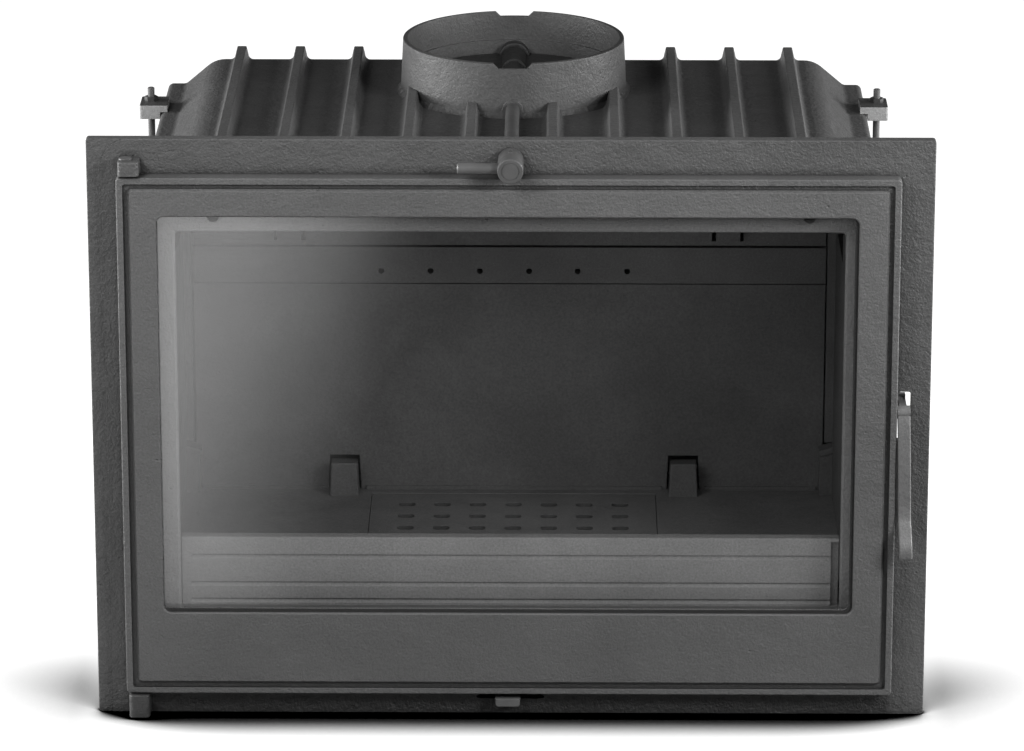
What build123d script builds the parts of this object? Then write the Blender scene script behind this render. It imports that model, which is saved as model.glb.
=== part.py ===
from build123d import *
import math
import os

# Cast-iron fireplace insert with a glazed side-hung door.
# Frame of the part: X to the right, Y to the rear, Z up.
# Origin: middle of the underside, level with the front face of the front frame.
os.makedirs("parts", exist_ok=True)

# ------------------------------------------------------------------ driving dimensions (mm)
FRAME_W = 690.0          # front frame width
FRAME_H = 496.5          # front frame height
FRAME_T = 10.0           # front frame plate thickness
DEPTH = 356.0            # rear face of the body behind the frame face
MOUTH_X0, MOUTH_X1 = -275.5, 274.2     # clear mouth of the firebox
MOUTH_Z0, MOUTH_Z1 = 84.7, 413.4
FLANGE_Y0, FLANGE_Y1 = 18.0, 26.0      # inner flange round the mouth

DOOR_X0, DOOR_X1 = -320.0, 317.0
DOOR_Z0, DOOR_Z1 = 22.2, 467.9
DOOR_BACK = -2.0
DOOR_RIM = -15.8         # front of the outer rim
DOOR_GROOVE = -12.2      # bottom of the groove round the panel
DOOR_PANEL = -16.2       # front of the raised panel
WIN_X0, WIN_X1 = -287.7, 283.2
WIN_Z0, WIN_Z1 = 93.9, 435.2
HINGE_X, HINGE_Y = -312.0, -9.2
HINGE_R = 2.25           # hinge pin radius
FIT = 0.05               # radial clearance of the running fits

PIVOT_Y, PIVOT_Z, PIVOT_R = -9.0, 268.5, 2.5   # handle pivot
SLOT_X0, SLOT_X1, SLOT_Z0, SLOT_Z1 = 318.0, 329.0, 240.0, 283.1
KEY_X, KEY_Z = 306.0, 264.5    # wide lower part of the handle slot

HOOD_Z = 472.5           # flat top of the hood
RIB_Z = 484.2            # tops of the ribs
FLUE_X, FLUE_Y = 0.0, 256.0
FLUE_R_OUT, FLUE_R_BASE = 94.3, 96.5
FLUE_BORE = 90.5         # socket for a 180 mm flue pipe
FLUE_STOP_R = 88.0       # damper throat
FLUE_STOP_Z = 493.2      # foot of the pipe socket, just above the spindle bosses
BOSS_R = 13.5            # spindle bosses in the collar
BOSS_Y = 78.5            # their faces, from the middle of the collar
FLUE_TOP = 518.1
SPINDLE_Z, SPINDLE_R = 479.5, 6.0

WALL = 6.0
BODY_X = 300.0           # outer face of the side walls
WALL_Z0, WALL_Z1 = 44.0, 442.5
HEARTH_Z = 98.8          # firebox floor
BACK_Y = 290.0           # face of the fireback


# ------------------------------------------------------------------ helpers
def bx(x0, x1, y0, y1, z0, z1):
    return Pos((x0 + x1) / 2, (y0 + y1) / 2, (z0 + z1) / 2) * Box(x1 - x0, y1 - y0, z1 - z0)


def cz(x, y, z0, z1, r):
    return Pos(x, y, (z0 + z1) / 2) * Cylinder(r, z1 - z0)


def cy(x, z, y0, y1, r):
    return Pos(x, (y0 + y1) / 2, z) * Rot(90, 0, 0) * Cylinder(r, y1 - y0)


def cx(y, z, x0, x1, r):
    return Pos((x0 + x1) / 2, y, z) * Rot(0, 90, 0) * Cylinder(r, x1 - x0)


def rbx(x0, x1, y0, y1, z0, z1, r, axis=Axis.Y):
    b = bx(x0, x1, y0, y1, z0, z1)
    return fillet(b.edges().filter_by(axis), r)


def prism_x(pts, x0, x1):
    f = make_face(Polyline(*[(x0, y, z) for y, z in pts], close=True))
    return extrude(f, amount=x1 - x0, dir=(1, 0, 0))


def prism_y(pts, y0, y1):
    f = make_face(Polyline(*[(x, y0, z) for x, z in pts], close=True))
    return extrude(f, amount=y1 - y0, dir=(0, 1, 0))


def hexa(x, z, y0, y1, af):
    """Hexagonal prism along Y."""
    r = af / math.sqrt(3)
    pts = [(x + r * math.cos(math.radians(60 * k)), z + r * math.sin(math.radians(60 * k)))
           for k in range(6)]
    return prism_y(pts, y0, y1)


def hexz(x, y, z0, z1, af):
    r = af / math.sqrt(3)
    f = make_face(Polyline(*[(x + r * math.cos(math.radians(60 * k)),
                              y + r * math.sin(math.radians(60 * k)), z0) for k in range(6)],
                           close=True))
    return extrude(f, amount=z1 - z0, dir=(0, 0, 1))


def solid_list(shape):
    return list(shape.solids())


def save(name, *shapes):
    out = []
    for s in shapes:
        out += solid_list(s)
    if len(out) == 1:
        export_step(out[0], "parts/%s.step" % name)
    else:
        export_step(Compound(children=out), "parts/%s.step" % name)
    print(name, len(out), "solids", round(sum(s.volume for s in out)), "mm3")


# ------------------------------------------------------------------ front frame
plate = rbx(-FRAME_W / 2, FRAME_W / 2, 0, FRAME_T, 0, FRAME_H, 2.5)
ring = bx(-303, 303, FRAME_T, FLANGE_Y1, 58, 442.3)
frame = plate + ring
# front recess in which the mouth flange sits back
frame -= rbx(-290, 288.5, -1, FLANGE_Y0, 71, 425.5, 8)
mouth_cut = rbx(MOUTH_X0, MOUTH_X1, 0, FLANGE_Y1 + 1, MOUTH_Z0, MOUTH_Z1, 4)
frame -= mouth_cut
# bevel on the front edge of the mouth
mouth_bevel = bx(MOUTH_X0 - 1.6, MOUTH_X1 + 1.6, FLANGE_Y0 - 1, FLANGE_Y0 + 1.6,
                 MOUTH_Z0 - 1.6, MOUTH_Z1 + 1.6)
mouth_bevel = chamfer(mouth_bevel.faces().sort_by(Axis.Y)[-1].edges(), 1.59)
frame -= mouth_bevel
# shallow step of the outer border on the left, with its rounded upper corner
frame -= bx(-346, -333, -1, 0.8, -1, 474)
corner = bx(-346, -310, -1, 0.8, 473.5, 498) - cy(-310, 473.5, -2, 2, 23)
frame -= corner
# rounded outer edges of the front
ER = 1.2
frame -= bx(-346, 346, -1, ER, FRAME_H - ER, FRAME_H + 1) - cx(ER, FRAME_H - ER, -347, 347, ER)
for s, y in ((-1, 0.8), (1, 0.0)):
    xe = s * (FRAME_W / 2 - ER)
    frame -= (bx(*sorted((xe, s * 346)), -1, y + ER, -1, FRAME_H + 1)
              - cz(xe, y + ER, -2, FRAME_H + 2, ER))
# handle slot, a keyhole: narrow above, wide below
frame -= rbx(SLOT_X0, SLOT_X1, -1, FRAME_T + 1, SLOT_Z0, SLOT_Z1, 2.6)
frame -= rbx(KEY_X, SLOT_X1, -1, FRAME_T + 1, SLOT_Z0, KEY_Z, 2.6)
# damper spindle bush hole
frame -= cy(0, SPINDLE_Z, -1, FRAME_T + 1, SPINDLE_R + FIT)
# slot of the air control
lens = prism_y([(-29.9, 13.7), (-24, 12.6), (24, 12.6), (29.2, 13.7), (24, 17.5),
                (12, 20.5), (-12, 20.5), (-24, 17.5)], -1, 11)
lens = fillet(lens.edges().filter_by(Axis.Y), 0.8)
frame -= lens
# tapped holes for the four bolts that hold the body to the frame
BOLTS = [(-220, 456.5), (220, 456.5), (-270, 30), (270, 30)]
for bxx, bz in BOLTS:
    frame -= cy(bxx, bz, 3, 11, 4.0)
# hinge lugs, cast on the frame
LUG_X0, LUG_X1, LUG_Y0 = -318.0, -301.0, -20.0
for z0, z1 in ((470.1, 481.8), (2.0, 21.5)):
    lug = bx(LUG_X0, LUG_X1, LUG_Y0, 0.9, z0, z1)
    front = lug.edges().filter_by(Axis.Z).sort_by(Axis.Y)[:2]
    lug = fillet(front, 3.5)
    lug = fillet(lug.faces().sort_by(Axis.Z)[-1].edges(), 1.2)
    lug -= cz(HINGE_X, HINGE_Y, z0 - 1, z1 + 1, HINGE_R)
    frame += lug
save("front_frame", frame)

# ------------------------------------------------------------------ hinge pins
pin_top = cz(HINGE_X, HINGE_Y, 458.6, 481.8, HINGE_R) + cz(HINGE_X, HINGE_Y, 481.8, 483.2, 5.5)
pin_top = fillet(pin_top.edges().filter_by(GeomType.CIRCLE).sort_by(Axis.Z)[-1:], 0.7)
pin_bot = cz(HINGE_X, HINGE_Y, 3.0, 31.4, HINGE_R)
save("hinge_pins", pin_top, pin_bot)

# ------------------------------------------------------------------ door casting
door = rbx(DOOR_X0, DOOR_X1, DOOR_GROOVE, DOOR_BACK, DOOR_Z0, DOOR_Z1, 3.5)
rim = rbx(DOOR_X0, DOOR_X1, DOOR_RIM, DOOR_GROOVE, DOOR_Z0, DOOR_Z1, 3.5)
rim = fillet(rim.faces().sort_by(Axis.Y)[0].edges(), 1.2)
rim -= rbx(DOOR_X0 + 5.3, DOOR_X1 - 5.3, DOOR_RIM - 2, DOOR_GROOVE + 1,
           DOOR_Z0 + 5.3, DOOR_Z1 - 5.3, 2.5)
panel = rbx(DOOR_X0 + 9.3, DOOR_X1 - 9.3, DOOR_PANEL, DOOR_GROOVE,
            DOOR_Z0 + 9.3, DOOR_Z1 - 9.3, 4.0)
panel = chamfer(panel.faces().sort_by(Axis.Y)[0].edges(), 2.0)
door = door + rim + panel
# window, with a small bevel at the front edge
door -= rbx(WIN_X0, WIN_X1, -20, 0, WIN_Z0, WIN_Z1, 6.5)
win_bevel = rbx(WIN_X0 - 1.0, WIN_X1 + 1.0, DOOR_PANEL - 1, DOOR_PANEL + 1.0,
                WIN_Z0 - 1.0, WIN_Z1 + 1.0, 7.5)
win_bevel = chamfer(win_bevel.faces().sort_by(Axis.Y)[-1].edges(), 0.99)
door -= win_bevel
# glass rebate in the back
door -= rbx(-296.5, 291.5, -12.9, 0, 85.5, 443.5, 5)
# groove for the rope seal
RS_OUT = (-304.5, 303.5, 25.6, 459.5)
RS_W = 7.0
rope_cut = (rbx(RS_OUT[0], RS_OUT[1], -7.0, 0, RS_OUT[2], RS_OUT[3], 12)
            - rbx(RS_OUT[0] + RS_W, RS_OUT[1] - RS_W, -8, 1, RS_OUT[2] + RS_W, RS_OUT[3] - RS_W, 6))
door -= rope_cut
# clearance chamfer along the hinge side of the back
door -= extrude(
    make_face(Polyline((-321, -6.48, 0), (-316.35, -1.0, 0), (-321, -1.0, 0), close=True)),
    amount=500, dir=(0, 0, 1))
# hinge pin holes
door -= cz(HINGE_X, HINGE_Y, 457.6, 470, HINGE_R + FIT)
door -= cz(HINGE_X, HINGE_Y, 20, 32.4, HINGE_R + FIT)
# handle pivot hole in the closing edge
door -= cx(PIVOT_Y, PIVOT_Z, 305.5, 320, PIVOT_R)
# pockets and screw holes of the glass clips
CLIPS = [(-242, 1), (243, 1), (-242, -1), (243, -1)]      # x, +1 top / -1 bottom


def clip_zs(s):
    if s > 0:
        return 428.6, 450.6, 447.2                        # tip, heel, screw
    return 95.4, 78.4, 81.8


for x, s in CLIPS:
    tip, heel, scr = clip_zs(s)
    lo, hi = min(heel, 440 if s > 0 else 90), max(heel, 440 if s > 0 else 90)
    door -= bx(x - 6.2, x + 6.2, -3.4, 0, lo - (0.6 if s < 0 else 0), hi + (0.6 if s > 0 else 0))
    door -= cy(x, scr, -10.5, 0, 2.0)
save("door_casting", door)

# ------------------------------------------------------------------ glass, its gasket and clips
GX0, GX1, GZ0, GZ1 = -295.5, 290.5, 86.5, 442.5
glass = bx(GX0, GX1, -11.4, -7.4, GZ0, GZ1)
glass = chamfer(glass.edges().filter_by(Axis.Y), 1.5)
save("glass_pane", glass)
gasket = (rbx(-296.3, 291.3, -12.9, -11.4, 85.7, 443.3, 4.6)
          - rbx(-288.9, 280.0, -14, -10, 96.8, 436.4, 5.0))
save("glass_gasket", gasket)

clips = []
screws = []
for x, s in CLIPS:
    tip, heel, scr = clip_zs(s)
    r = 5.0
    zc = tip + r * s
    knee = 441.2 if s > 0 else 88.0
    c = bx(x - r, x + r, -3.4, -2.2, min(knee, heel), max(knee, heel))
    c += bx(x - r, x + r, -7.4, -2.2, min(knee, knee - 1.2 * s), max(knee, knee - 1.2 * s))
    tongue = bx(x - r, x + r, -7.4, -6.2, min(zc, knee), max(zc, knee)) + cy(x, zc, -7.4, -6.2, r)
    c += tongue & bx(x - r, x + r, -8, -6, *sorted((tip, knee)))
    c -= cy(x, scr, -5, 0, 2.0)
    clips.append(c)
    sc = cy(x, scr, -10.0, -2.2, 2.0) + cy(x, scr, -2.2, -0.7, 3.6)
    sc -= bx(x - 3.0, x + 3.0, -1.3, 0, scr - 0.5, scr + 0.5)
    screws.append(sc)
save("glass_clips", *clips)
save("glass_clip_screws", *screws)

# ------------------------------------------------------------------ door rope seal
rope = (rbx(RS_OUT[0] + 0.1, RS_OUT[1] - 0.1, -7.0, -0.3, RS_OUT[2] + 0.1, RS_OUT[3] - 0.1, 11.9)
        - rbx(RS_OUT[0] + RS_W - 0.1, RS_OUT[1] - RS_W + 0.1, -8, 1,
              RS_OUT[2] + RS_W - 0.1, RS_OUT[3] - RS_W + 0.1, 6.1))
back = rope.faces().sort_by(Axis.Y)[-1]
rope = fillet(back.edges(), 2.4)
save("door_rope_seal", rope)

# ------------------------------------------------------------------ door handle
HX0, HX1 = 317.4, 327.8
hub = cx(PIVOT_Y, PIVOT_Z, HX0, HX1, 5.5)
# tang through the frame slot, with an ear behind the narrow part of the slot
TX0, TX1 = 318.4, 325.0
tang = prism_x([(PIVOT_Y, 266.5), (17.0, 266.5), (17.0, 277.4), (11.0, 277.4), (10.8, 275.4),
                (9.4, 274.0), (PIVOT_Y, 274.0)], TX0, TX1)
ear = rbx(309.5, TX1, 10.8, 17.0, 268.5, 277.4, 1.5)
# lever: flat bar hanging down with its end curled forward
spine = [(-9.4, 268.5), (-12.4, 258.0), (-14.6, 240.0), (-15.4, 205.0), (-15.6, 181.0),
         (-18.0, 174.0), (-24.6, 168.2), (-31.0, 162.6), (-33.8, 156.0), (-33.6, 149.8)]
half = [4.0, 3.9, 3.7, 3.6, 3.5, 3.5, 3.4, 3.2, 2.9, 2.3]


def ribbon(pts, hw):
    left, right = [], []
    n = len(pts)
    for k in range(n):
        a = pts[max(k - 1, 0)]
        b = pts[min(k + 1, n - 1)]
        ty, tz = b[0] - a[0], b[1] - a[1]
        m = math.hypot(ty, tz)
        ny, nz = -tz / m, ty / m
        left.append((pts[k][0] + ny * hw[k], pts[k][1] + nz * hw[k]))
        right.append((pts[k][0] - ny * hw[k], pts[k][1] - nz * hw[k]))
    return left, right


lft, rgt = ribbon(spine, half)
s1 = Spline(*[(HX0, y, z) for y, z in lft])
s2 = Spline(*[(HX0, y, z) for y, z in reversed(rgt)])
e1 = Line(s1 @ 1, s2 @ 0)
e2 = Line(s2 @ 1, s1 @ 0)
lever = extrude(make_face(Wire([s1, e1, s2, e2])), amount=HX1 - HX0, dir=(1, 0, 0))
lean = 1.4
lever = Pos(HX0, 0, PIVOT_Z) * Rot(0, -lean, 0) * Pos(-HX0, 0, -PIVOT_Z) * lever
lever &= bx(HX0, 340, -60, 20, 100, 300)
try:
    side = [e for e in lever.edges() if e.length > 60]
    lever = fillet(side, 1.1)
except Exception as err:
    print("lever edges left sharp:", err)
handle = hub + lever + tang + ear
handle -= cx(PIVOT_Y, PIVOT_Z, 310, 340, PIVOT_R + FIT)
save("door_handle", handle)

pivot = cx(PIVOT_Y, PIVOT_Z, 306.0, 328.2, PIVOT_R)
save("handle_pivot_pin", pivot)

# ------------------------------------------------------------------ hood with flue collar
outer = [(-303, 442.5), (-303, 450.5), (-287, 450.5), (-261, HOOD_Z), (261, HOOD_Z),
         (287, 450.5), (303, 450.5), (303, 442.5)]
inner = [(-292, 441.5), (-292, 443.6), (-283.5, 444.2), (-258.2, HOOD_Z - 6), (258.2, HOOD_Z - 6),
         (283.5, 444.2), (292, 443.6), (292, 441.5)]
hood = prism_y(outer, 10, DEPTH)
long_edges = hood.edges().filter_by(Axis.Y)
hood = fillet([e for e in long_edges if abs(abs(e.center().X) - 261) < 0.1], 24)
hood = fillet([e for e in hood.edges().filter_by(Axis.Y)
               if abs(abs(e.center().X) - 287) < 0.1 and e.center().Z > 448], 6)
hood = fillet([e for e in hood.edges().filter_by(Axis.Y)
               if abs(abs(e.center().X) - 303) < 0.1 and e.center().Z > 448], 5)
hood -= prism_y(inner, 17, DEPTH - 7)


def rib(x):
    z, t, r, e = HOOD_Z, RIB_Z, 4.5, 1.2
    q, k = r * math.sqrt(0.5), e * math.sqrt(0.5)

    def p(dx, h):
        return (x + dx, 10, h)

    w = Wire([
        Line(p(-10.1, z - 0.5), p(-10.1, z)),
        ThreePointArc(p(-10.1, z), p(-10.1 + q, z + r - q), p(-5.6, z + r)),
        Line(p(-5.6, z + r), p(-4.2, t - e)),
        ThreePointArc(p(-4.2, t - e), p(-4.2 + e - k, t - e + k), p(-4.2 + e, t)),
        Line(p(-4.2 + e, t), p(4.2 - e, t)),
        ThreePointArc(p(4.2 - e, t), p(4.2 - e + k, t - e + k), p(4.2, t - e)),
        Line(p(4.2, t - e), p(5.6, z + r)),
        ThreePointArc(p(5.6, z + r), p(10.1 - q, z + r - q), p(10.1, z)),
        Line(p(10.1, z), p(10.1, z - 0.5)),
        Line(p(10.1, z - 0.5), p(-10.1, z - 0.5)),
    ])
    return extrude(make_face(w), amount=DEPTH - 10, dir=(0, 1, 0))


for x in (34, 85, 136, 187, 238):
    hood += rib(x)
    hood += rib(-x)
# the flue collar is a casting of its own, bedded on the flat top of the hood
cone = Pos(FLUE_X, FLUE_Y, (HOOD_Z + FLUE_TOP) / 2) * Cone(
    FLUE_R_BASE, FLUE_R_OUT, FLUE_TOP - HOOD_Z)
skirt = Pos(FLUE_X, FLUE_Y, HOOD_Z + 1.7) * Cone(FLUE_R_BASE + 3.4, FLUE_R_BASE - 0.2, 3.4)
boss = cy(0, SPINDLE_Z, FLUE_Y - 99.5, FLUE_Y - 86, 8.6) + cy(0, SPINDLE_Z, FLUE_Y + 86, DEPTH - 0.5, 8.6)
boss += bx(-8.6, 8.6, FLUE_Y - 99.5, FLUE_Y - 86, HOOD_Z, SPINDLE_Z)
boss += bx(-8.6, 8.6, FLUE_Y + 86, DEPTH - 0.5, HOOD_Z, SPINDLE_Z)
boss &= bx(-20, 20, 100, 400, HOOD_Z, 500)
collar_outer = cone + skirt + boss
hood -= collar_outer
hood -= cz(FLUE_X, FLUE_Y, HOOD_Z, FLUE_TOP, FLUE_R_BASE - 2)
hood -= cz(FLUE_X, FLUE_Y, 430, FLUE_TOP + 1, FLUE_STOP_R)
for bxx, bz in BOLTS[:2]:
    hood -= cy(bxx, bz, 9, 18, 4.0)
save("hood", hood)

rim_edge = [e for e in cone.edges().filter_by(GeomType.CIRCLE) if e.center().Z > FLUE_TOP - 1]
collar = fillet(rim_edge, 0.9) + skirt + boss
collar -= cz(FLUE_X, FLUE_Y, 430, FLUE_TOP + 1, FLUE_STOP_R)
collar -= cz(FLUE_X, FLUE_Y, FLUE_STOP_Z, FLUE_TOP + 1, FLUE_BORE)
# spindle bosses inside the collar
for s in (-1, 1):
    ya, yb = sorted((FLUE_Y + s * BOSS_Y, FLUE_Y + s * 92))
    inboss = cy(0, SPINDLE_Z, ya, yb, BOSS_R)
    inboss = fillet(inboss.edges().filter_by(GeomType.CIRCLE).sort_by(Axis.Y)[::s][:1], 1.5)
    collar += inboss & cz(FLUE_X, FLUE_Y, 430, FLUE_TOP, FLUE_STOP_R + 0.02)
# notches in the rim, front and rear
collar -= prism_y([(-17.0, FLUE_TOP + 1), (-16.6, FLUE_TOP), (-12.25, FLUE_TOP - 4.5),
                   (12.25, FLUE_TOP - 4.5), (16.6, FLUE_TOP), (17.0, FLUE_TOP + 1)], 140, 372)
# spindle bearings in the collar wall
collar -= cy(0, SPINDLE_Z, FLUE_Y - 100, FLUE_Y - 77, SPINDLE_R + FIT)
collar -= cy(0, SPINDLE_Z, FLUE_Y + 77, FLUE_Y + 96.2, SPINDLE_R + FIT)
save("flue_collar", collar)

# ------------------------------------------------------------------ damper
knob = cy(0, SPINDLE_Z, -36, -0.6, 10.5)
knob = fillet(knob.faces().sort_by(Axis.Y)[0].edges(), 0.9)
ring_cut = cy(0, SPINDLE_Z, -37, -35.5, 7.4) - cy(0, SPINDLE_Z, -38, -34, 6.6)
knob -= ring_cut
knob -= cy(0, SPINDLE_Z, -19.5, 1, SPINDLE_R)
PIN_Y, PIN_R = -26.2, 4.45
knob -= cx(PIN_Y, SPINDLE_Z, -12, -2, PIN_R)
SETS = [-14.5, -6.5]
for y in SETS:
    knob -= cz(0, y, SPINDLE_Z + SPINDLE_R - 1, SPINDLE_Z + 12, 2.0)
save("damper_knob", knob)

cross = cx(PIN_Y, SPINDLE_Z, -43.2, -2, PIN_R)
cross = chamfer(cross.faces().sort_by(Axis.X)[0].edges(), 1.1)
save("damper_cross_pin", cross)

spindle = cy(0, SPINDLE_Z, -19.5, 347, SPINDLE_R)
spindle = chamfer(spindle.faces().sort_by(Axis.Y)[-1].edges(), 0.8)
save("damper_spindle", spindle)

PLATE_R = 87.0
HUB_Y = BOSS_Y - 0.5
disc = Pos(FLUE_X, FLUE_Y, SPINDLE_Z) * Cylinder(PLATE_R, 5.0)
disc = fillet(disc.edges(), 1.0)
for s in (-1, 1):
    disc -= cy(0, SPINDLE_Z, *sorted((FLUE_Y + s * (BOSS_Y - 0.8), FLUE_Y + s * 100)), BOSS_R + 0.7)
disc += cy(0, SPINDLE_Z, FLUE_Y - HUB_Y, FLUE_Y + HUB_Y, 8.6)
disc += cy(0, SPINDLE_Z, FLUE_Y - HUB_Y, FLUE_Y - 34, 10.5) + cy(0, SPINDLE_Z, FLUE_Y + 34, FLUE_Y + HUB_Y, 10.5)
disc -= cy(0, SPINDLE_Z, FLUE_Y - 90, FLUE_Y + 90, SPINDLE_R)
for y in (FLUE_Y - 56, FLUE_Y + 56):
    disc -= cz(0, y, SPINDLE_Z - 12, SPINDLE_Z - SPINDLE_R + 1, 2.5)
save("damper_plate", disc)


def grub(y, r, z1):
    g = cz(0, y, SPINDLE_Z + SPINDLE_R + 0.1, z1, r)
    g -= cz(0, y, z1 - 1.6, z1 + 1, r * 0.5)
    return g


save("knob_set_screws", *[grub(y, 2.0, SPINDLE_Z + 10.0) for y in SETS])
under = []
for y in (FLUE_Y - 56, FLUE_Y + 56):
    g = cz(0, y, SPINDLE_Z - 10.2, SPINDLE_Z - SPINDLE_R - 0.1, 2.5)
    g -= cz(0, y, SPINDLE_Z - 12, SPINDLE_Z - 8.6, 1.25)
    under.append(g)
save("damper_plate_screws", *under)

# ------------------------------------------------------------------ side walls and back wall
for name, s in (("left_side_wall", -1), ("right_side_wall", 1)):
    xa, xb = sorted((s * BODY_X, s * (BODY_X - WALL)))
    w = bx(xa, xb, FLANGE_Y1, 347, WALL_Z0, WALL_Z1)
    # ribs outside, ledge for the hearth plate inside
    xa, xb = sorted((s * (BODY_X - 0.5), s * (BODY_X + 3)))
    for y in (60, 125, 190, 255, 320):
        w += bx(xa, xb, y - 5, y + 5, WALL_Z0, WALL_Z1)
    xa, xb = sorted((s * (BODY_X - WALL + 0.5), s * 286))
    w += bx(xa, xb, 46, 340, 80.0, 88.8)
    save(name, w)

bw = bx(-BODY_X, BODY_X, 347, 353, WALL_Z0, WALL_Z1)
for x in (-250, -150, -50, 50, 150, 250):
    bw += bx(x - 5, x + 5, 352.5, 356, WALL_Z0, WALL_Z1)
bw += bx(-285, 285, 340.2, 347.5, 80.0, 88.8)
save("back_wall", bw)

# ------------------------------------------------------------------ base
base = bx(-303, 303, 16, DEPTH, 6, 44) - bx(-294, 294, 22, 347, 12, 60)
for x in (-270, 270):
    base += bx(x - 14, x + 14, 10, 16.5, 14, 44)
for x in (-268, 268):
    for y in (48, 322):
        base += bx(x - 22, x + 22, y - 22, y + 22, 0, 6.5)
for s in (-1, 1):
    xa, xb = sorted((s * 302, s * 321))
    ear = rbx(xa, xb, 262, 288, 26, 36, 4, Axis.Z) + bx(*sorted((s * 302, s * 310)), 262, 288, 26, 36)
    base += ear
    base -= cz(s * 312, 275, 20, 40, 3.0)
for bxx, bz in BOLTS[2:]:
    base -= cy(bxx, bz, 9, 24, 4.0)
# two ports of the combustion air
PORTS = (-45, 45)
for x in PORTS:
    base -= bx(x - 12, x + 12, 15, 24, 13, 21)
GUIDE_SCREWS = [(-104, 31.5), (104, 31.5), (-104, 6.4), (104, 6.4)]
for x, z in GUIDE_SCREWS[:2]:
    base -= cy(x, z, 15, 21.0, 2.0)
save("base_tray", base)

# ------------------------------------------------------------------ air control slide
slide = rbx(-88, 74, 13.0, 15.7, 9.2, 24.8, 1.5)
for x in PORTS:
    slide -= rbx(x - 24, x, 12, 17, 12.5, 21.5, 1.0)
STEM = 7.0
STEM_X = -2.5
slide += bx(STEM_X - STEM, STEM_X + STEM, -8.0, 13.5, 13.2, 17.2)
save("air_slider", slide)

paddle = bx(STEM_X - 10.5, STEM_X + 10.5, -14.5, -2.1, 9.9, 17.8)
paddle = fillet(paddle.edges().filter_by(Axis.Y).sort_by(Axis.Z)[:2], 3.0)
paddle = fillet(paddle.faces().sort_by(Axis.Y)[0].edges(), 1.5)
paddle -= bx(STEM_X - STEM, STEM_X + STEM, -8.0, 0, 13.2, 17.2)
save("air_control_knob", paddle)

upper = bx(-112, 112, 10.4, 16, 25.1, 35) + bx(-112, 112, 10.4, 12.7, 22.8, 25.1)
lower = bx(-112, 112, 10.4, 16, 3.0, 8.9) + bx(-112, 112, 10.4, 12.7, 8.9, 11.2)
scr = []
for x, z in GUIDE_SCREWS[:2]:
    head = cy(x, z, 10.6, 12.6, 3.2)
    shank = cy(x, z, 12.6, 20.5, 2.0)
    upper -= cy(x, z, 10, 12.6, 3.2)
    upper -= cy(x, z, 12, 17, 2.0)
    sc = head + shank
    sc -= bx(x - 2.6, x + 2.6, 10, 11.4, z - 0.45, z + 0.45)
    scr.append(sc)
# lower rail carries the end stops and hangs from the tray floor
lower += bx(-112, -101.5, 10.4, 16, 3.0, 22.8) + bx(101.5, 112, 10.4, 16, 3.0, 22.8)
save("air_slider_guides", upper, lower)
save("guide_screws", *scr)

# ------------------------------------------------------------------ hearth plate and grate
hearth = bx(-292, 292, 38.5, 340, 88.8, HEARTH_Z)
hearth += bx(-280, 280, 26.4, 44.5, 80.0, 86.0) + bx(-280, 280, 38.5, 44.5, 80.0, 90.0)
GR_X, GR_Y0, GR_Y1 = 125.0, 61.5, 278.5
hearth -= bx(-GR_X, GR_X, GR_Y0, GR_Y1, 92.6, 110)
hearth -= bx(-GR_X + 8, GR_X - 8, GR_Y0 + 8, GR_Y1 - 8, 80, 110)
for x in (-190, 0, 190):
    hearth -= rbx(x - 60, x + 60, 312, 330, 80, 110, 6, Axis.Z)
save("hearth_plate", hearth)

grate = rbx(-GR_X + 0.5, GR_X - 0.5, GR_Y0 + 0.5, GR_Y1 - 0.5, 92.6, 98.4, 2, Axis.Z)
for x in (-108.5, 108.5):
    grate += bx(x - 4, x + 4, GR_Y0 + 10, GR_Y1 - 10, 86.6, 93)
for y in (GR_Y0 + 14, GR_Y1 - 14):
    grate += bx(-104.5, 104.5, y - 3, y + 3, 86.6, 93)
for i in range(-3, 4):
    for j in range(6):
        y = 249.0 - 31 * j
        # each slot widens downwards, so that ash falls through
        mouth = Pos(i * 31, y, 98.6) * RectangleRounded(14.0, 9.6, 3.5)
        grate -= extrude(mouth, amount=6.4, dir=(0, 0, -1), taper=-28)
save("grate", grate)

# ------------------------------------------------------------------ ash pan
pan = bx(-113, 113, 74, 266, 13.0, 72) - bx(-111.4, 111.4, 75.6, 264.4, 14.6, 80)
rim_o = bx(-116, 116, 70.8, 269.2, 70.6, 72)
rim_i = bx(-112, 112, 75, 265, 68, 75)
pan += rim_o - rim_i
pan -= rbx(-30, 30, 60, 80, 52, 64, 5)
save("ash_pan", pan)

# ------------------------------------------------------------------ log retainer
RY0, RY1 = 26.6, 34.6
ret = bx(-275.0, 267.0, RY0, RY1, 86.0, 144.2)
top = bx(-275.0, 273.6, RY0, 37.6, 142.6, 145.8)
top = fillet(top.edges().filter_by(Axis.X).sort_by(Axis.Z)[-2:], 1.4)
ret += top
for z in (129.7, 105.5, 90.7):
    g = prism_x([(RY0 - 1, z + 0.9), (RY0 + 1.9, z + 0.9), (RY0 + 1.9, z - 0.5),
                 (RY0 - 0.05, z - 3.2), (RY0 - 1, z - 3.2)], -267.5, 268.0)
    ret -= g
for x in (-262, 255):
    ret += bx(x - 4, x + 4, RY1 - 1, 38.2, 86.0, 138)
# set-back end of the bar on the right
ret += bx(266.5, 273.4, RY0 + 5.0, RY1, 86.0, 143.0)
save("log_retainer", ret)

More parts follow.
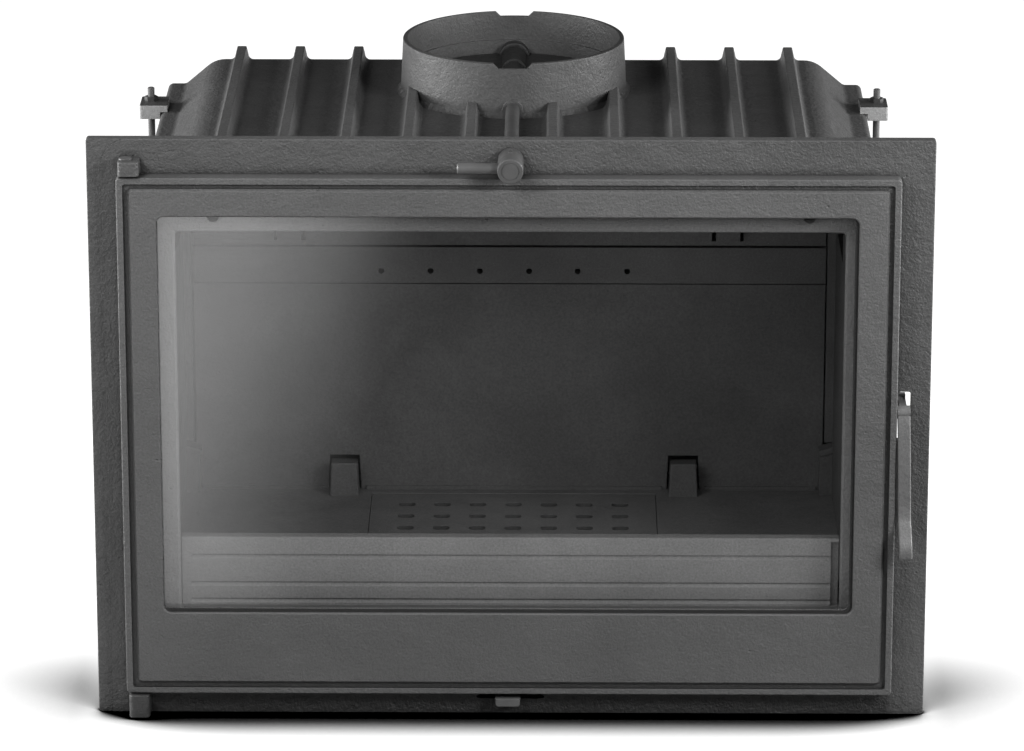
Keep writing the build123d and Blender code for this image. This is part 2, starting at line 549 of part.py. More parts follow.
# ------------------------------------------------------------------ firebox lining
FB_X0, FB_X1 = -279.5, 271.5
fireback = bx(FB_X0, FB_X1, BACK_Y, 302, HEARTH_Z, 289.0)
fireback += bx(FB_X0 + 5.5, -168, BACK_Y - 2.2, BACK_Y + 1, HEARTH_Z, 102.0)
fireback += bx(-130, 130, BACK_Y - 2.2, BACK_Y + 1, HEARTH_Z, 102.0)
fireback += bx(168, FB_X1 - 5.5, BACK_Y - 2.2, BACK_Y + 1, HEARTH_Z, 102.0)
STOP_X = (-149.0, 149.0)
for x in STOP_X:
    fireback -= prism_y([(x - 14.6, HEARTH_Z - 1), (x + 14.6, HEARTH_Z - 1), (x + 13.2, 130.4),
                         (x - 13.2, 130.4)], BACK_Y - 5, 303)
# the front half of each joint between the plates is a shallow open groove
fireback -= bx(FB_X0 - 1, FB_X1 + 1, BACK_Y - 5, BACK_Y + 6.0, 287.6, 290.0)
save("fireback", fireback)

strip = bx(FB_X0, FB_X1, BACK_Y - 2.4, 302, 289.2, 321.6)
for x in (-115.6, -72.7, -29.7, 13.3, 55.6, 98.7):
    strip -= cy(x, 300.1, 280, 310, 2.65)
save("air_strip", strip)

upper_back = bx(FB_X0, FB_X1, BACK_Y, 302, 321.8, 372.0)
HOOK_X = (-195.0, 186.0)
for x in HOOK_X:
    upper_back -= bx(x - 13.8, x + 13.8, BACK_Y - 1, 303, 326.9, 350.0)
upper_back -= bx(FB_X0 - 1, FB_X1 + 1, BACK_Y - 1, BACK_Y + 6.0, 321.0, 323.0)
save("upper_back_plate", upper_back)

# baffle plate: rises to the front over the fire
BA = (287.2, 346.0)      # rear lower edge (Y, Z)
BB = (112.0, 396.0)      # front lower edge
bl = math.hypot(BA[0] - BB[0], BA[1] - BB[1])
ny, nz = (BA[1] - BB[1]) / bl, (BB[0] - BA[0]) / bl
if nz < 0:
    ny, nz = -ny, -nz
BT = 8.0
baf = prism_x([BA, BB, (BB[0] + ny * BT, BB[1] + nz * BT), (BA[0] + ny * BT, BA[1] + nz * BT)],
              -286.0, 278.0)
save("baffle_plate", baf)

# lining of the side walls, with pegs that carry the front of the baffle and a return strip
# that closes most of the gap beside the fireback
PEG_Y = 136.0
t = (BA[0] - PEG_Y) / (BA[0] - BB[0])
peg_z = BA[1] + (BB[1] - BA[1]) * t
PEG_R = 5.0
pyc, pzc = PEG_Y - ny * (PEG_R + 0.02), peg_z - nz * (PEG_R + 0.02)
left = bx(-294.0, -288.0, 40.0, 303.0, HEARTH_Z, 342.0) + cx(pyc, pzc, -294.0, -276.0, PEG_R)
left += bx(-294.0, -288.0, 40.0, 170.0, 340.0, 392.0)
left += bx(-288.5, -281.2, BACK_Y - 2.4, BACK_Y + 2.0, 144.0, 342.0)
save("left_side_liner", left)
right = bx(280.0, 286.0, 40.0, 303.0, HEARTH_Z, 342.0) + cx(pyc, pzc, 268.0, 286.0, PEG_R)
right += bx(280.0, 286.0, 40.0, 170.0, 340.0, 392.0)
right += bx(272.9, 280.5, BACK_Y - 2.4, BACK_Y + 2.0, 144.0, 342.0)
for y, z in ((60, 130), (270, 130), (60, 320), (270, 320)):
    right += cx(y, z, 285.5, 294.0, 8.0)
save("right_side_liner", right)

# hooks that carry the rear of the baffle: each stands in a notch of the upper back plate,
# with a thin lip behind the plate
hooks = []
for x in HOOK_X:
    hk = prism_x([(303.3, 327.0), (303.3, 318.0), (302.1, 318.0), (302.1, 326.9), (BACK_Y, 326.9),
                  (BACK_Y - 14, 331.0), (BACK_Y - 14, 346.0), (303.3, 346.0)],
                 x - 10.3, x + 10.3)
    hk -= prism_x([(BA[0] + 2, BA[1] - 0.566), (BB[0], BB[1] - 0.03), (BB[0], BB[1] + 40),
                   (BA[0] + 2, BA[1] + 40)], x - 20, x + 20)
    hooks.append(hk)
save("baffle_hooks", *hooks)

# corner lugs that hold the foot of the fireback against the side lining
lugs = []
for xo, xi, side in ((-288.0, -276.0, -1), (280.0, 268.5, 1)):
    c = prism_y([(xo, HEARTH_Z), (xi, HEARTH_Z), (xi, 138.6), (xo, 142.4)], 276.0, BACK_Y)
    c += prism_y([(xo, 143.6), (xi - 1.2 * side, 139.6), (xi - 1.2 * side, 134.6), (xo, 138.4)],
                 274.6, BACK_Y)
    lugs.append(c)
save("fireback_corner_lugs", *lugs)

stops = []
for x in STOP_X:
    st = prism_y([(x - 12.7, HEARTH_Z), (x + 12.7, HEARTH_Z), (x + 11.35, 128.8), (x - 11.35, 128.8)],
                 270.0, 300.0)
    st -= prism_x([(272.5, 128.8), (290.0, 123.6), (301.0, 123.6), (301.0, 130.0), (272.5, 130.0)],
                  x - 20, x + 20)
    try:
        st = fillet([e for e in st.edges() if e.center().Z > 105 and e.center().Y < 289.9
                     and e.center().Z > 110], 1.5)
    except Exception as err:
        print("stop edges left sharp:", err)
    stops.append(st)
save("fireback_stops", *stops)

# ------------------------------------------------------------------ clamps, tie rods, bolts
clamps = []
rods = []
nuts = []
for s in (-1, 1):
    c = bx(*sorted((s * 297, s * 321)), 257, 289, 450.5, 456.4)
    c += bx(*sorted((s * 303.4, s * 321)), 257, 289, 444.4, 451)
    c = fillet([e for e in c.edges().filter_by(Axis.Z) if abs(e.center().X) > 320], 2.0)
    c = fillet(c.faces().sort_by(Axis.Z)[-1].edges(), 0.8)
    c -= cz(s * 312, 275, 430, 470, 3.0)
    clamps.append(c)
    rod = cz(s * 312, 275, 16.5, 468.0, 3.0)
    rod = chamfer(rod.edges().filter_by(GeomType.CIRCLE), 0.6)
    rods.append(rod)
    for z0, z1 in ((456.4, 460.2), (21.0, 26.0)):
        n = hexz(s * 312, 275, z0, z1, 10.0) - cz(s * 312, 275, z0 - 1, z1 + 1, 3.0)
        nuts.append(n)
save("clamp_blocks", *clamps)
save("tie_rods", *rods)
save("tie_rod_nuts", *nuts)

bolts = []
for (x, z), y1 in zip(BOLTS, (17, 17, 22, 22)):
    b = cy(x, z, 3.0, y1, 4.0) + hexa(x, z, y1, y1 + 5.3, 13.0)
    bolts.append(b)
save("frame_bolts", *bolts)
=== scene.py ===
import math

import bmesh
import bpy
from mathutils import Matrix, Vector, noise as mnoise


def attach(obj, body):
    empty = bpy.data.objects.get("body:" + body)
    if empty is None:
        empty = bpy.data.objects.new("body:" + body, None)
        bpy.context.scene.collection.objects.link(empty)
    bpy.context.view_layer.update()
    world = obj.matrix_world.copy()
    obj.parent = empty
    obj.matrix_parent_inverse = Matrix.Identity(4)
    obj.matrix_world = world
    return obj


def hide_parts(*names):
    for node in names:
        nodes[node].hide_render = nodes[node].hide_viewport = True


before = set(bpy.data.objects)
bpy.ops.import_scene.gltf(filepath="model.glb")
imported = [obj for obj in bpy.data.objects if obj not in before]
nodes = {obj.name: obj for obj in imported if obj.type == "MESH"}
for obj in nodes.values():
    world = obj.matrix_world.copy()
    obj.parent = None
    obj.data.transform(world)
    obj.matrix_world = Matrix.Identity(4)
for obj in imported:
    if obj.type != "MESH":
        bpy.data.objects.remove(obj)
bpy.context.view_layer.update()
scene = bpy.context.scene


# ------------------------------------------------------------------ node graph helpers
def fresh(name):
    mat = bpy.data.materials.new(name)
    mat.use_nodes = True
    mat.node_tree.nodes.clear()
    return mat, mat.node_tree


def add(nt, kind, ins=None, **props):
    n = nt.nodes.new(kind)
    for key, value in props.items():
        setattr(n, key, value)
    for key, value in (ins or {}).items():
        sock = n.inputs[key]
        if isinstance(value, bpy.types.NodeSocket):
            nt.links.new(value, sock)
        else:
            sock.default_value = value
    return n


def coords(nt):
    return add(nt, "ShaderNodeTexCoord").outputs["Object"]


def noise(nt, co, scale, detail=2.0, rough=0.5, distort=0.0):
    return add(nt, "ShaderNodeTexNoise", {"Vector": co, "Scale": scale, "Detail": detail,
                                          "Roughness": rough, "Distortion": distort}).outputs["Fac"]


def math_(nt, op, a, b=0.0, clamp=False):
    return add(nt, "ShaderNodeMath", {0: a, 1: b}, operation=op, use_clamp=clamp).outputs[0]


def spread(nt, fac, lo, hi, a=0.0, b=1.0, smooth=False):
    return add(nt, "ShaderNodeMapRange", {"Value": fac, "From Min": lo, "From Max": hi,
                                          "To Min": a, "To Max": b},
               interpolation_type="SMOOTHSTEP" if smooth else "LINEAR").outputs["Result"]


def mix(nt, fac, a, b, mode="MIX"):
    n = nt.nodes.new("ShaderNodeMix")
    n.data_type = "RGBA"
    n.blend_type = mode
    for key, value in ((0, fac), (6, a), (7, b)):
        if isinstance(value, bpy.types.NodeSocket):
            nt.links.new(value, n.inputs[key])
        else:
            n.inputs[key].default_value = value
    return n.outputs[2]


def grey(v, warm=0.0):
    return (v * (1 + warm), v, v * (1 - warm), 1.0)


def bump(nt, height, dist, strength=1.0, normal=None):
    ins = {"Height": height, "Distance": dist, "Strength": strength}
    if normal is not None:
        ins["Normal"] = normal
    return add(nt, "ShaderNodeBump", ins).outputs["Normal"]


def output(nt, shader):
    out = nt.nodes.new("ShaderNodeOutputMaterial")
    nt.links.new(shader, out.inputs["Surface"])


def rounded(nt, radius):
    """Normal that rounds the sharp edges of the casting, and a mask that is 1 on those edges."""
    bv = add(nt, "ShaderNodeBevel", {"Radius": radius}, samples=6).outputs["Normal"]
    flat = add(nt, "ShaderNodeNewGeometry").outputs["Normal"]
    dot = add(nt, "ShaderNodeVectorMath", {0: bv, 1: flat}, operation="DOT_PRODUCT").outputs["Value"]
    return bv, spread(nt, dot, 0.985, 0.80, 0.0, 1.0, True)


# ------------------------------------------------------------------ materials
def cast(name, tone, rough=0.56, grain=1.0, blotch=0.10, soot=0.0, spec=0.5, warm=0.0,
         edge=0.0005, coarse=1.0, edge_highlight=0.45, painted_top_shade=0.0, shade_zone=None,
         crease_shade=0.0):
    """Sand-cast iron under a thin coat of matt stove paint; the shade zone gives a mask of places where shade
    is painted in.
    """
    mat, nt = fresh(name)
    co = coords(nt)
    edge_n, edge_f = rounded(nt, edge)
    fine = noise(nt, co, 560 / coarse, 2.0, 0.6)
    sand = noise(nt, co, 250 / coarse, 3.0, 0.6)
    wave = noise(nt, co, 46, 2.0, 0.5)
    patch = noise(nt, co, 6.5, 4.0, 0.6, 0.4)
    pits = add(nt, "ShaderNodeTexVoronoi", {"Vector": co, "Scale": 120.0}).outputs["Distance"]
    pit = spread(nt, pits, 0.0, 0.17, 1.0, 0.0, True)
    gate = spread(nt, noise(nt, co, 60, 1.0), 0.6, 0.68, 0.0, 1.0, True)
    pit = math_(nt, "MULTIPLY", pit, gate)
    # colour: blotches of the paint, a fine salt of the grain, darker pits, and a painted highlight that
    # lightens the edges
    tone_fac = spread(nt, patch, 0.3, 0.7, 0.0, 1.0, True)
    base = mix(nt, tone_fac, grey(tone * (1 - blotch), warm), grey(tone * (1 + blotch), warm))
    salt = spread(nt, fine, 0.3, 0.7, 0.84, 1.16)
    col = mix(nt, 1.0, base, add(nt, "ShaderNodeCombineColor",
                                 {0: salt, 1: salt, 2: salt}).outputs[0], "MULTIPLY")
    col = mix(nt, math_(nt, "MULTIPLY", pit, 0.5), col, grey(tone * 0.45, warm))
    if soot:
        s = spread(nt, noise(nt, co, 11, 5.0, 0.65, 0.6), 0.42, 0.66, 0.0, soot, True)
        col = mix(nt, s, col, grey(tone * 0.42, warm))
    # painted highlight: lighten the rounded edges, broken up by the sand noise
    edge_highlight_mask = math_(nt, "MULTIPLY", edge_f, spread(nt, sand, 0.38, 0.6, 0.4 * edge_highlight, edge_highlight))
    col = mix(nt, edge_highlight_mask, col, grey(tone * 2.1, warm))
    # painted shade: darken the faces that look up
    if painted_top_shade:
        up = add(nt, "ShaderNodeNewGeometry").outputs["Normal"]
        up = add(nt, "ShaderNodeSeparateXYZ", {0: up}).outputs[2]
        col = mix(nt, spread(nt, up, 0.5, 0.9, 0.0, painted_top_shade), col, grey(tone * 0.12, warm))
    # painted shade: ambient occlusion darkens grooves, creases and corners under rims and lugs
    if crease_shade:
        crease_occlusion = add(nt, "ShaderNodeAmbientOcclusion", {"Color": (1, 1, 1, 1), "Distance": 0.010},
                   samples=8).outputs["AO"]
        col = mix(nt, spread(nt, crease_occlusion, 0.38, 0.88, crease_shade, 0.0), col, grey(tone * 0.12, warm))
    # painted shade: darken the places that the shade zone masks
    if shade_zone:
        mask, depth = shade_zone(nt, co)
        col = mix(nt, math_(nt, "MULTIPLY", mask, depth), col, grey(tone * 0.1, warm))
    rg = spread(nt, sand, 0.3, 0.7, rough - 0.06, rough + 0.07)
    h = math_(nt, "MULTIPLY", fine, 0.42)
    h = math_(nt, "ADD", h, math_(nt, "MULTIPLY", sand, 0.62))
    h = math_(nt, "SUBTRACT", h, math_(nt, "MULTIPLY", pit, 0.5))
    n1 = bump(nt, wave, 0.0012 * grain, 1.0, edge_n)
    n2 = bump(nt, h, 0.0011 * grain * coarse, 1.0, n1)
    p = add(nt, "ShaderNodeBsdfPrincipled", {"Base Color": col, "Roughness": rg, "Normal": n2,
                                             "Metallic": 0.0, "Specular IOR Level": spec})
    output(nt, p.outputs[0])
    return mat


def painted_shade_collar(nt, co):
    """Painted shade on the spindle bosses inside the collar and on the outer flanks of the collar."""
    xyz = add(nt, "ShaderNodeSeparateXYZ", {0: co}).outputs
    dz = math_(nt, "SUBTRACT", xyz[2], 0.4795)
    near = math_(nt, "SQRT", math_(nt, "ADD", math_(nt, "MULTIPLY", xyz[0], xyz[0]),
                                   math_(nt, "MULTIPLY", dz, dz)))
    near = spread(nt, near, 0.0132, 0.0142, 0.82, 0.0, True)
    inside = math_(nt, "MULTIPLY", spread(nt, xyz[1], 0.17, 0.171), spread(nt, xyz[1], 0.341, 0.342, 1.0, 0.0))
    flank = math_(nt, "MAXIMUM", spread(nt, xyz[0], -0.045, -0.097, 0.0, 0.46, True),
                  spread(nt, xyz[0], 0.020, 0.085, 0.0, 0.68, True))
    return math_(nt, "MAXIMUM", math_(nt, "MULTIPLY", near, inside), flank), 1.0


def painted_shadow_under_door(nt, co):
    """Painted shadow on the strip of the frame under the door."""
    xyz = add(nt, "ShaderNodeSeparateXYZ", {0: co}).outputs
    under = spread(nt, math_(nt, "ABSOLUTE", xyz[0]), 0.312, 0.320, 1.0, 0.0, True)
    return math_(nt, "MULTIPLY", spread(nt, xyz[2], 0.0225, 0.0265, 1.0, 0.0, True), under), 0.72


def painted_shade_door_rail(nt, co):
    """Painted shade on the lower rail of the door, a little darker."""
    z = add(nt, "ShaderNodeSeparateXYZ", {0: co}).outputs[2]
    return spread(nt, z, 0.05, 0.14, 1.0, 0.0, True), 0.17


def turned(name, tone, rough=0.42, metal=0.0, axis=1, scale=900.0, spec=0.5, warm=0.0):
    """Turned or drawn steel: fine rings round the given axis, under black oxide or bright."""
    mat, nt = fresh(name)
    co = coords(nt)
    stretch = [1.0, 1.0, 1.0]
    stretch[axis] = 14.0
    mp = add(nt, "ShaderNodeMapping", {"Vector": co, "Scale": tuple(stretch)}).outputs[0]
    ring = noise(nt, mp, scale / 14.0, 2.0, 0.6)
    fine = noise(nt, co, 700, 2.0, 0.5)
    patch = noise(nt, co, 35, 3.0, 0.6)
    fac = spread(nt, patch, 0.35, 0.65, 0.0, 1.0, True)
    col = mix(nt, fac, grey(tone * 0.88, warm), grey(tone * 1.12, warm))
    rg = spread(nt, ring, 0.3, 0.7, rough - 0.07, rough + 0.08)
    h = math_(nt, "ADD", math_(nt, "MULTIPLY", ring, 0.6), math_(nt, "MULTIPLY", fine, 0.4))
    p = add(nt, "ShaderNodeBsdfPrincipled", {"Base Color": col, "Roughness": rg,
                                             "Normal": bump(nt, h, 0.00008), "Metallic": metal,
                                             "Specular IOR Level": spec})
    output(nt, p.outputs[0])
    return mat


def sheet(name, tone, rough=0.4, metal=0.9):
    """Rolled sheet steel with mill marks and a few scuffs."""
    mat, nt = fresh(name)
    co = coords(nt)
    mp = add(nt, "ShaderNodeMapping", {"Vector": co, "Scale": (1.0, 9.0, 9.0)}).outputs[0]
    roll = noise(nt, mp, 60, 4.0, 0.65)
    patch = noise(nt, co, 18, 4.0, 0.6)
    fac = spread(nt, patch, 0.35, 0.65, 0.0, 1.0, True)
    col = mix(nt, fac, grey(tone * 0.82), grey(tone * 1.12))
    rg = spread(nt, roll, 0.3, 0.7, rough - 0.1, rough + 0.12)
    p = add(nt, "ShaderNodeBsdfPrincipled", {"Base Color": col, "Roughness": rg,
                                             "Normal": bump(nt, roll, 0.00005),
                                             "Metallic": metal})
    output(nt, p.outputs[0])
    return mat


def fibre(name, tone):
    """Glass-fibre cord: yarns crossing at an angle."""
    mat, nt = fresh(name)
    co = coords(nt)
    wv = add(nt, "ShaderNodeTexWave", {"Vector": co, "Scale": 260.0, "Distortion": 2.5,
                                       "Detail": 2.0, "Detail Scale": 2.0},
             wave_type="BANDS", bands_direction="DIAGONAL").outputs["Fac"]
    fine = noise(nt, co, 1500, 3.0, 0.6)
    patch = noise(nt, co, 30, 3.0, 0.6)
    fac = spread(nt, patch, 0.35, 0.65, 0.0, 1.0, True)
    col = mix(nt, fac, grey(tone * 0.8), grey(tone * 1.15))
    col = mix(nt, spread(nt, wv, 0.2, 0.8, 0.55, 0.0), col, grey(tone * 0.4))
    h = math_(nt, "ADD", math_(nt, "MULTIPLY", wv, 0.8), math_(nt, "MULTIPLY", fine, 0.35))
    rg = spread(nt, fine, 0.3, 0.7, 0.82, 0.98)
    p = add(nt, "ShaderNodeBsdfPrincipled", {"Base Color": col, "Roughness": rg,
                                             "Normal": bump(nt, h, 0.0006),
                                             "Sheen Weight": 0.25, "Sheen Roughness": 0.5})
    output(nt, p.outputs[0])
    return mat


def pane(name):
    """Ceramic glass: clear with a faint smoke tint, mirror by angle, thin streaks of wiping."""
    mat, nt = fresh(name)
    co = coords(nt)
    facing = add(nt, "ShaderNodeLayerWeight", {"Blend": 0.5}).outputs["Facing"]
    f5 = math_(nt, "POWER", facing, 5.0)
    refl = math_(nt, "ADD", math_(nt, "MULTIPLY", f5, 0.91), 0.09, True)
    mp = add(nt, "ShaderNodeMapping", {"Vector": co, "Scale": (1.0, 1.0, 3.0),
                                       "Rotation": (0.0, 0.5, 0.0)}).outputs[0]
    wipe = noise(nt, mp, 9, 3.0, 0.6, 0.5)
    tint = mix(nt, spread(nt, wipe, 0.35, 0.7, 0.0, 1.0, True), grey(0.955), grey(0.975))
    tr = add(nt, "ShaderNodeBsdfTransparent", {"Color": tint}).outputs[0]
    rg = spread(nt, wipe, 0.3, 0.7, 0.03, 0.06)
    wob = bump(nt, noise(nt, co, 7, 1.0), 0.0004)
    gl = add(nt, "ShaderNodeBsdfGlossy", {"Color": (1, 1, 1, 1), "Roughness": rg,
                                          "Normal": wob}).outputs[0]
    m = add(nt, "ShaderNodeMixShader", {0: refl, 1: tr, 2: gl})
    output(nt, m.outputs[0])
    return mat


M = {
    "iron": cast("cast_iron_frame", 0.079, 0.52, 1.6, coarse=1.1, shade_zone=painted_shadow_under_door,
                 edge_highlight=0.6, crease_shade=0.75),
    "door": cast("cast_iron_door", 0.103, 0.52, 1.4, coarse=1.0, shade_zone=painted_shade_door_rail,
                 edge_highlight=1.0, edge=0.0007, crease_shade=0.95),
    "hood": cast("cast_iron_hood", 0.058, 0.58, 1.0, 0.14, edge_highlight=0.3, coarse=1.2),
    "collar": cast("cast_iron_collar", 0.063, 0.55, 0.75, coarse=1.0, shade_zone=painted_shade_collar),
    "inner": cast("cast_iron_firebox", 0.060, 0.7, 0.5, 0.12, 0.2, spec=0.12, edge_highlight=0.2),
    "bed": cast("cast_iron_fire_bed", 0.074, 0.7, 0.5, 0.14, 0.25, spec=0.12, edge_highlight=0.3),
    "bar": cast("cast_iron_log_bar", 0.096, 0.7, 0.7, spec=0.15),
    "throat": cast("cast_iron_damper", 0.020, 0.62, 1.0, 0.12, 0.1, edge_highlight=0.2),
    "wall": cast("cast_iron_walls", 0.075, 0.6, 1.1, 0.12, 0.1),
    "lever": cast("cast_iron_lever", 0.145, 0.48, 0.6, edge_highlight=0.5),
    "black": turned("blackened_steel", 0.085, 0.42),
    "blackx": turned("blackened_steel_cross", 0.105, 0.36, 0.0, 0),
    "blackz": turned("blackened_steel_upright", 0.10, 0.42, 0.2, 2),
    "steel": turned("bright_steel", 0.42, 0.34, 1.0),
    "zinc": cast("zinc_steel_rough", 0.285, 0.5, 0.8, 0.12, painted_top_shade=0.95),
    "screw": turned("zinc_screw", 0.30, 0.38, 0.8),
    "pin": cast("hinge_pin_steel", 0.095, 0.45, 0.4, edge_highlight=0.3, crease_shade=0.9),
    "nut": turned("dark_nut", 0.05, 0.45, 0.3),
    "sheet": sheet("sheet_steel_dark", 0.16, 0.42, 0.6),
    "clip": sheet("sheet_steel_clip", 0.012, 0.6, 0.0),
    "spindle": turned("blackened_spindle", 0.042, 0.45),
    "pan": sheet("sheet_steel_pan", 0.035, 0.5, 0.3),
    "fibre": fibre("glass_fibre_cord", 0.30),
    "gasket": fibre("glass_fibre_tape", 0.012),
    "glass": pane("ceramic_glass_clear"),
}

LOOK = {
    "front_frame": "iron", "door_casting": "door", "hood": "hood", "flue_collar": "collar",
    "damper_plate": "throat", "hinge_pins": "pin", "damper_knob": "black",
    "damper_cross_pin": "blackx", "damper_spindle": "spindle", "knob_set_screws": "screw",
    "damper_plate_screws": "screw", "door_handle": "lever", "handle_pivot_pin": "blackx",
    "glass_pane": "glass", "glass_gasket": "gasket", "glass_clips": "clip",
    "glass_clip_screws": "screw", "door_rope_seal": "fibre", "left_side_wall": "wall",
    "right_side_wall": "wall", "back_wall": "wall", "base_tray": "wall", "hearth_plate": "bed",
    "grate": "bed", "ash_pan": "pan", "log_retainer": "bar", "fireback": "inner",
    "air_strip": "inner", "upper_back_plate": "inner", "baffle_plate": "inner",
    "left_side_liner": "inner", "right_side_liner": "inner", "baffle_hooks": "inner",
    "fireback_corner_lugs": "inner", "fireback_stops": "inner", "clamp_blocks": "zinc",
    "tie_rods": "blackz", "tie_rod_nuts": "nut", "frame_bolts": "screw", "air_slider": "sheet",
    "air_control_knob": "black", "air_slider_guides": "sheet", "guide_screws": "screw",
}


def dress(name, look):
    me = nodes[name].data
    me.materials.clear()
    me.materials.append(M[look])


for name, look in LOOK.items():
    dress(name, look)
left_over = sorted(set(nodes) - set(LOOK))
if left_over:
    raise RuntimeError("no finish for %s" % left_over)


# ------------------------------------------------------------------ pieces made here
def tube_mesh(name, rings, close_ring=True):
    """Mesh through a closed list of rings, each a closed list of points."""
    me = bpy.data.meshes.new(name)
    n, m = len(rings), len(rings[0])
    verts = [tuple(p) for r in rings for p in r]
    faces = []
    for i in range(n):
        j = (i + 1) % n
        for k in range(m):
            q = (k + 1) % m
            faces.append((i * m + k, i * m + q, j * m + q, j * m + k))
    me.from_pydata(verts, [], faces)
    bm = bmesh.new()
    bm.from_mesh(me)
    bmesh.ops.recalc_face_normals(bm, faces=bm.faces)
    bm.to_mesh(me)
    bm.free()
    me.polygons.foreach_set("use_smooth", [True] * len(me.polygons))
    ob = bpy.data.objects.new(name, me)
    scene.collection.objects.link(ob)
    return ob


def rope_path(step):
    """Points, sideways directions and lengths along the groove in the back of the door."""
    x0, x1, z0, z1, r = -0.30105, 0.30005, 0.02905, 0.45605, 0.00855
    legs = []
    for cx_, cz_, a0 in ((x1 - r, z1 - r, 0), (x0 + r, z1 - r, 90), (x0 + r, z0 + r, 180),
                         (x1 - r, z0 + r, 270)):
        for k in range(0, 91, 6):
            a = math.radians(a0 + k)
            legs.append((Vector((cx_ + r * math.cos(a), 0.0, cz_ + r * math.sin(a))),
                         Vector((math.cos(a), 0.0, math.sin(a)))))
    pts = []
    total = 0.0
    for i in range(len(legs)):
        a, na = legs[i]
        b, nb = legs[(i + 1) % len(legs)]
        d = (b - a).length
        cuts = max(1, int(round(d / step)))
        for k in range(cuts):
            t = k / cuts
            pts.append((a.lerp(b, t), na.lerp(nb, t).normalized(), total + d * t))
        total += d
    return pts, total


# twisted three-strand seal in the groove of the door
path, length = rope_path(0.0011)
turns = round(length / 0.0155)
strands = []
for k in range(3):
    rings = []
    for pt, out, at in path:
        ph = 2 * math.pi * (turns * at / length + k / 3.0)
        mid = pt + Vector((0, -0.00365, 0)) + out * (0.00162 * math.cos(ph)) \
            + Vector((0, 0.00162 * math.sin(ph), 0))
        ring = []
        for q in range(10):
            a = 2 * math.pi * q / 10
            rr = 0.00160 + 0.00005 * math.sin(at * 5200 + q * 2.1)
            ring.append(mid + out * (rr * math.cos(a)) + Vector((0, rr * math.sin(a), 0)))
        rings.append(ring)
    st = tube_mesh("rope_strand_%d" % (k + 1), rings)
    st.data.materials.append(M["fibre"])
    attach(st, "door_body")
    strands.append(st)
for st in strands:
    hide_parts("door_rope_seal")

# irregular bead where the collar is bedded on the hood
rings = []
steps = 420
for i in range(steps):
    a = 2 * math.pi * i / steps
    ca, sa = math.cos(a), math.sin(a)
    at = Vector((ca * 3.0, sa * 3.0, 0.0))
    n1 = mnoise.noise(at * 2.2)
    n2 = mnoise.noise(at * 7.5 + Vector((5, 1, 2)))
    n3 = mnoise.noise(at * 17.0 + Vector((1, 7, 4)))
    wide = 0.0042 + 0.0010 * n1 + 0.0009 * n2 + 0.0004 * n3
    tall = 0.0052 + 0.0014 * n2 + 0.0008 * n1 + 0.0005 * n3
    ring = []
    for k in range(11):
        t = k / 10.0
        # from the foot outside, over a hollow fillet with a lumpy crown, to the collar wall
        rr = 0.0958 + wide * (1 - t) ** 1.5 + 0.0004 * math.sin(math.pi * t) * (1 + n3)
        zz = 0.4719 + tall * t ** 1.45 + 0.0010 * math.sin(math.pi * t) * (1 + 0.8 * n2)
        ring.append(Vector((ca * rr, 0.256 + sa * rr, zz)))
    ring.append(Vector((ca * 0.0935, 0.256 + sa * 0.0935, 0.4719 + tall)))
    ring.append(Vector((ca * 0.0935, 0.256 + sa * 0.0935, 0.4719)))
    rings.append(ring)
bead = tube_mesh("collar_bead", rings)
bead.data.materials.append(M["collar"])
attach(bead, "stove_body")


# ------------------------------------------------------------------ floor, light, camera
def plane(name, x0, x1, y0, y1, z):
    me = bpy.data.meshes.new(name)
    me.from_pydata([(x0, y0, z), (x1, y0, z), (x1, y1, z), (x0, y1, z)], [], [(0, 1, 2, 3)])
    ob = bpy.data.objects.new(name, me)
    scene.collection.objects.link(ob)
    return ob


floor = plane("floor", -14, 14, -14, 14, -0.0004)
fmat, nt = fresh("pale_floor")
# the floor glows white, and ambient occlusion dims the glow into a painted contact shadow in front and a wider
# painted shadow beside the stove
ao = add(nt, "ShaderNodeAmbientOcclusion", {"Color": (1, 1, 1, 1), "Distance": 0.11}, samples=64)
far = add(nt, "ShaderNodeAmbientOcclusion", {"Color": (1, 1, 1, 1), "Distance": 0.26}, samples=48)
fx = add(nt, "ShaderNodeSeparateXYZ", {0: coords(nt)}).outputs[0]
fy = add(nt, "ShaderNodeSeparateXYZ", {0: coords(nt)}).outputs[1]
side_shadow_zone = math_(nt, "MULTIPLY", spread(nt, math_(nt, "ABSOLUTE", fx), 0.32, 0.37, 0.0, 1.0, True),
               spread(nt, fy, 0.04, 0.2, 1.0, 0.0, True))
painted_contact_shadow = spread(nt, ao.outputs["AO"], 0.505, 0.83, 0.0, 1.0, True)
painted_side_shadow = spread(nt, far.outputs["AO"], 0.62, 0.965, 0.2, 1.0)
painted_side_shadow = spread(nt, side_shadow_zone, 0.0, 1.0, 1.0, painted_side_shadow)
glow = math_(nt, "MULTIPLY", painted_contact_shadow, painted_side_shadow)
tone = spread(nt, glow, 0.0, 1.0, 0.0, 0.3)
fcol = add(nt, "ShaderNodeCombineColor", {0: tone, 1: tone, 2: tone}).outputs[0]
fp = add(nt, "ShaderNodeBsdfPrincipled", {"Base Color": fcol, "Roughness": 0.9,
                                          "Specular IOR Level": 0.0,
                                          "Emission Color": (1, 1, 1, 1),
                                          "Emission Strength": glow})
output(nt, fp.outputs[0])
floor.data.materials.append(fmat)
floor.visible_diffuse = False

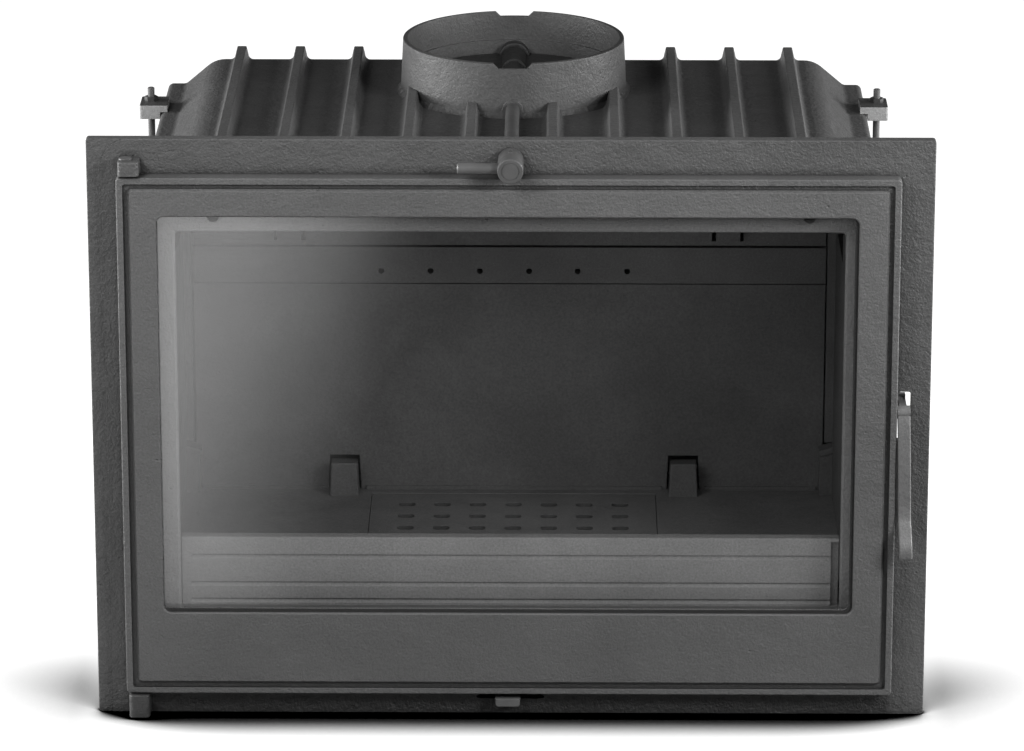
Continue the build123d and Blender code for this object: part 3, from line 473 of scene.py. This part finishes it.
# soft strip of light that the glass mirrors, brighter to the left
card = plane("mirror_card", -0.75, 0.75, -1.9, -0.12, 0.002)
cmat, nt = fresh("mirror_card")
cx = add(nt, "ShaderNodeSeparateXYZ", {0: coords(nt)}).outputs[0]
cy = add(nt, "ShaderNodeSeparateXYZ", {0: coords(nt)}).outputs[1]
cx = math_(nt, "ADD", cx, math_(nt, "MULTIPLY", math_(nt, "ADD", cy, 0.85), 0.07))
grad = spread(nt, cx, -0.39, -0.115, 1.26, 0.0, True)
em = add(nt, "ShaderNodeEmission", {"Color": (1, 1, 1, 1), "Strength": grad})
output(nt, em.outputs[0])
card.data.materials.append(cmat)
card.visible_camera = False
card.visible_diffuse = False
card.visible_transmission = False
card.visible_shadow = False
card.visible_volume_scatter = False

world = bpy.data.worlds.new("studio")
scene.world = world
world.use_nodes = True
wt = world.node_tree
wt.nodes.clear()
lp = wt.nodes.new("ShaderNodeLightPath")
amb = wt.nodes.new("ShaderNodeBackground")
amb.inputs[0].default_value = (1, 1, 1, 1)
amb.inputs[1].default_value = 0.04
white = wt.nodes.new("ShaderNodeBackground")
white.inputs[0].default_value = (1, 1, 1, 1)
white.inputs[1].default_value = 1.0
wm = wt.nodes.new("ShaderNodeMixShader")
wo = wt.nodes.new("ShaderNodeOutputWorld")
wt.links.new(lp.outputs["Is Camera Ray"], wm.inputs[0])
wt.links.new(amb.outputs[0], wm.inputs[1])
wt.links.new(white.outputs[0], wm.inputs[2])
wt.links.new(wm.outputs[0], wo.inputs[0])


def area(name, loc, aim, size, power, size_y=None):
    li = bpy.data.lights.new(name, "AREA")
    li.energy = power
    li.size = size
    if size_y:
        li.shape = "RECTANGLE"
        li.size_y = size_y
    ob = bpy.data.objects.new(name, li)
    ob.location = loc
    ob.rotation_euler = (Vector(aim) - Vector(loc)).to_track_quat("-Z", "Y").to_euler()
    scene.collection.objects.link(ob)
    return ob


area("key", (-0.85, -1.1, 1.35), (0, 0, 0.3), 0.75, 19)
area("fill", (1.25, -1.15, 1.1), (0.05, 0, 0.28), 0.6, 26)
area("side_left", (-2.0, 0.3, 0.8), (-0.25, 0.2, 0.45), 0.9, 64)
area("side_right", (2.0, 0.3, 0.8), (0.25, 0.2, 0.45), 0.9, 50)
inside = area("firebox_light", (0, -0.0045, 0.262), (0, 1, 0.262), 0.565, 1.0, 0.335)
inside.visible_camera = False
inside.visible_glossy = False

scene.view_settings.view_transform = "Standard"
scene.view_settings.look = "None"
scene.view_settings.exposure = 0.0
scene.view_settings.gamma = 1.0

cam = bpy.data.cameras.new("camera")
cam.sensor_fit = "HORIZONTAL"
cam.sensor_width = 36.0
cam.lens = 192.3278
cam.clip_start = 0.1
cam.clip_end = 60.0
cam.dof.use_dof = False
cob = bpy.data.objects.new("camera", cam)
cob.location = (0.0413958, -4.2809765, 1.6574054)
pitch, yaw = 0.30785208, -0.00942089
look_dir = Vector((math.sin(yaw) * math.cos(pitch), math.cos(yaw) * math.cos(pitch), -math.sin(pitch)))
cob.rotation_euler = look_dir.to_track_quat("-Z", "Y").to_euler()
scene.collection.objects.link(cob)
scene.camera = cob

bpy.context.view_layer.update()
